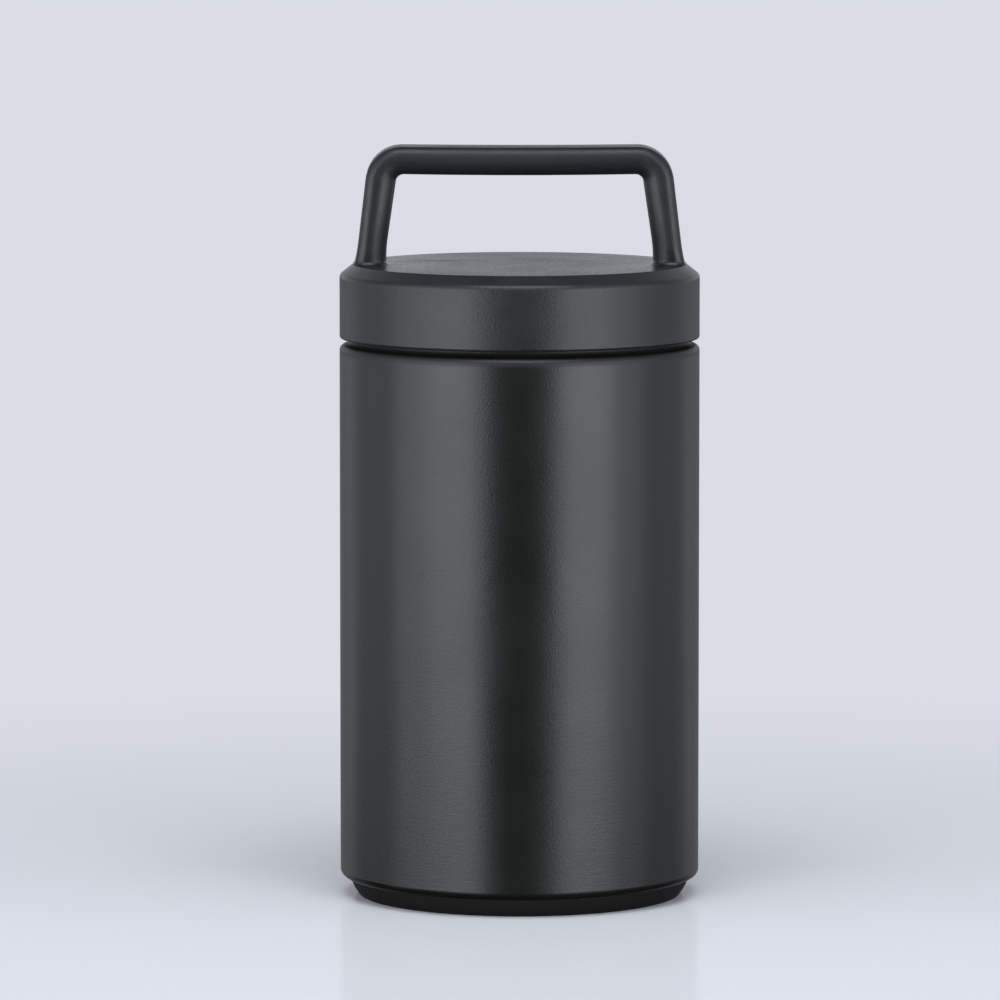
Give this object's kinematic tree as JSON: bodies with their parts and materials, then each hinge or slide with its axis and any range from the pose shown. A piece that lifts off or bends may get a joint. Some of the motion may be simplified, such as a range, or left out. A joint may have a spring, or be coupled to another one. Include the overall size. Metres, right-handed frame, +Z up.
{
  "type": "insulated food jar",
  "caption": "Insulated food jar: a double-walled steel vessel with a ceramic lining, closed by a screw lid with a rigid loop handle.",
  "frame": {"origin": "centre of the foot's resting ring, on the plane that the jar stands on", "axes": "+Z up along the jar's axis to the handle, X along the handle's bar, Y from front to back"},
  "size_m": [0.09, 0.09, 0.1881],
  "materials": {
    "powder_coated_steel": "satin",
    "bare_steel": "satin",
    "ceramic": "gloss",
    "solder": "satin",
    "getter_metal": "matte",
    "foil": "polished",
    "foot_rubber": "matte",
    "lid_plastic": "satin",
    "plug_plastic": "satin",
    "foam": "matte",
    "silicone": "matte"
  },
  "bodies": {
    "jar": {"outer_shell": "powder_coated_steel", "inner_vessel": "bare_steel", "porcelain_lining": "ceramic", "outer_bottom": "bare_steel", "vacuum_seal": "solder", "getter": "getter_metal", "getter_clip": "bare_steel", "reflector_foil": "foil", "base_foot": "foot_rubber"},
    "gasket": {"lid_gasket": "silicone"},
    "lid": {"lid_shell": "lid_plastic", "lid_plug": "plug_plastic", "lid_insulation": "foam"}
  },
  "joints": [
    {"name": "lid_lift", "type": "slide", "parent": "jar", "child": "gasket", "axis": [0, 0, 1], "range_m": [0, 0.015]},
    {"name": "lid_turn", "type": "hinge", "parent": "gasket", "child": "lid", "pos_m": [0, 0, 0.153], "axis": [0, 0, 1], "range_deg": [0, 900]}
  ],
  "couplings": [
    {"joint": "lid_lift", "follows": "lid_turn", "m_per_rad": 0.00095493}
  ]
}
